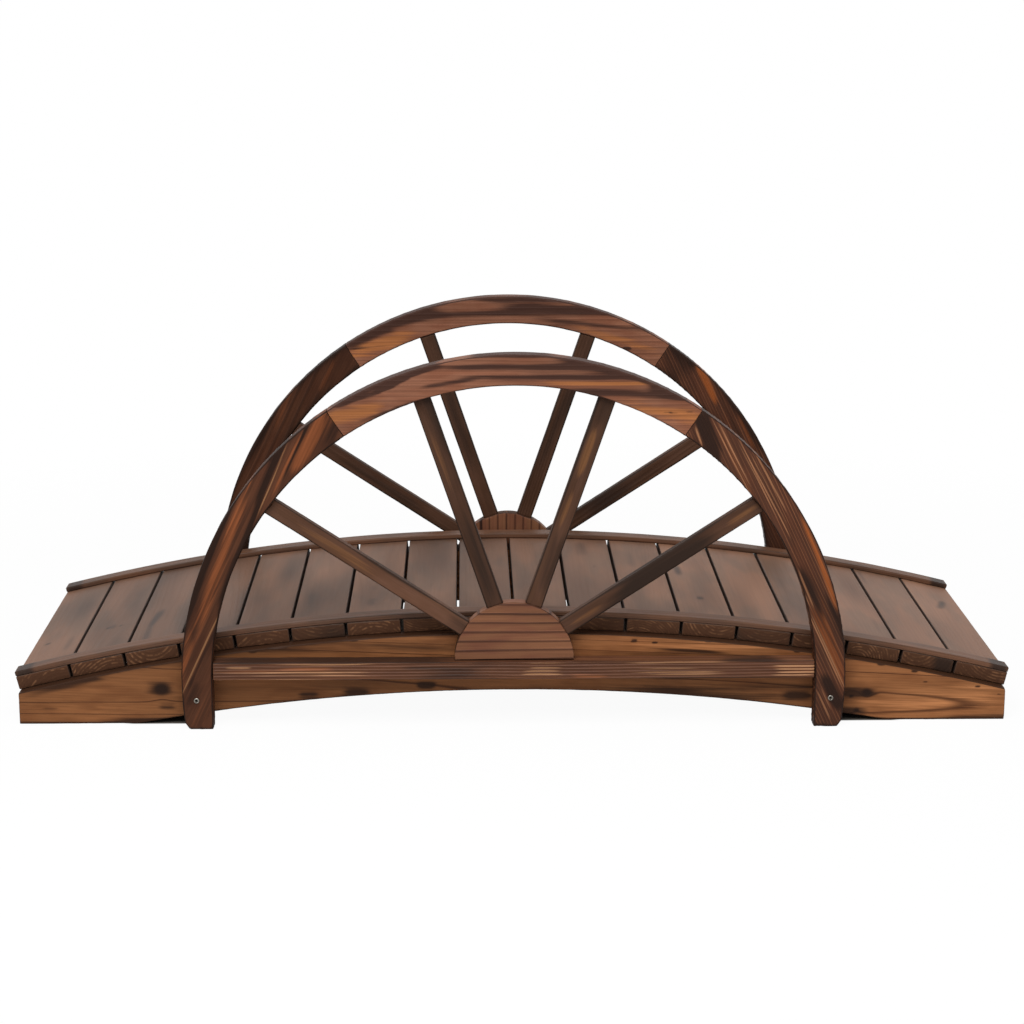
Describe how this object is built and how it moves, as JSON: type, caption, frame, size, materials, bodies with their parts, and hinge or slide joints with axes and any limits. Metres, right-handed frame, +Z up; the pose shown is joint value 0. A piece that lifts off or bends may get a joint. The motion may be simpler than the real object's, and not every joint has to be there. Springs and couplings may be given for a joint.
{
  "type": "garden bridge",
  "caption": "Small arched garden bridge of charred and stained fir with a plank deck and a half-wheel rail on each side",
  "frame": {"origin": "on the ground in the middle of the bridge, under the crown of the deck", "axes": "+X runs along the walkway to the right as seen in the picture, +Y runs across it away from the viewer, +Z is up"},
  "size_m": [1.4156, 0.572, 0.5329],
  "materials": {
    "beam_fir": "matte",
    "deck_fir": "matte",
    "rail_fir": "matte"
  },
  "bodies": {
    "root": {"deck_plank_01": "deck_fir", "deck_plank_02": "deck_fir", "deck_plank_03": "deck_fir", "deck_plank_04": "deck_fir", "deck_plank_05": "deck_fir", "deck_plank_06": "deck_fir", "deck_plank_07": "deck_fir", "deck_plank_08": "deck_fir", "deck_plank_09": "deck_fir", "deck_plank_10": "deck_fir", "deck_plank_11": "deck_fir", "deck_plank_12": "deck_fir", "deck_plank_13": "deck_fir", "deck_plank_14": "deck_fir", "deck_plank_15": "deck_fir", "deck_plank_16": "deck_fir", "deck_plank_17": "deck_fir", "deck_plank_18": "deck_fir", "front_beam": "beam_fir", "front_edge_strip": "deck_fir", "front_rim_top": "rail_fir", "front_rim_leg_left": "rail_fir", "front_rim_leg_right": "rail_fir", "front_bottom_bar": "rail_fir", "front_hub": "rail_fir", "front_spoke_left_low": "rail_fir", "front_spoke_left_high": "rail_fir", "front_spoke_right_high": "rail_fir", "front_spoke_right_low": "rail_fir", "back_beam": "beam_fir", "back_edge_strip": "deck_fir", "back_rim_top": "rail_fir", "back_rim_leg_left": "rail_fir", "back_rim_leg_right": "rail_fir", "back_bottom_bar": "rail_fir", "back_hub": "rail_fir", "back_spoke_left_low": "rail_fir", "back_spoke_left_high": "rail_fir", "back_spoke_right_high": "rail_fir", "back_spoke_right_low": "rail_fir"}
  },
  "joints": []
}
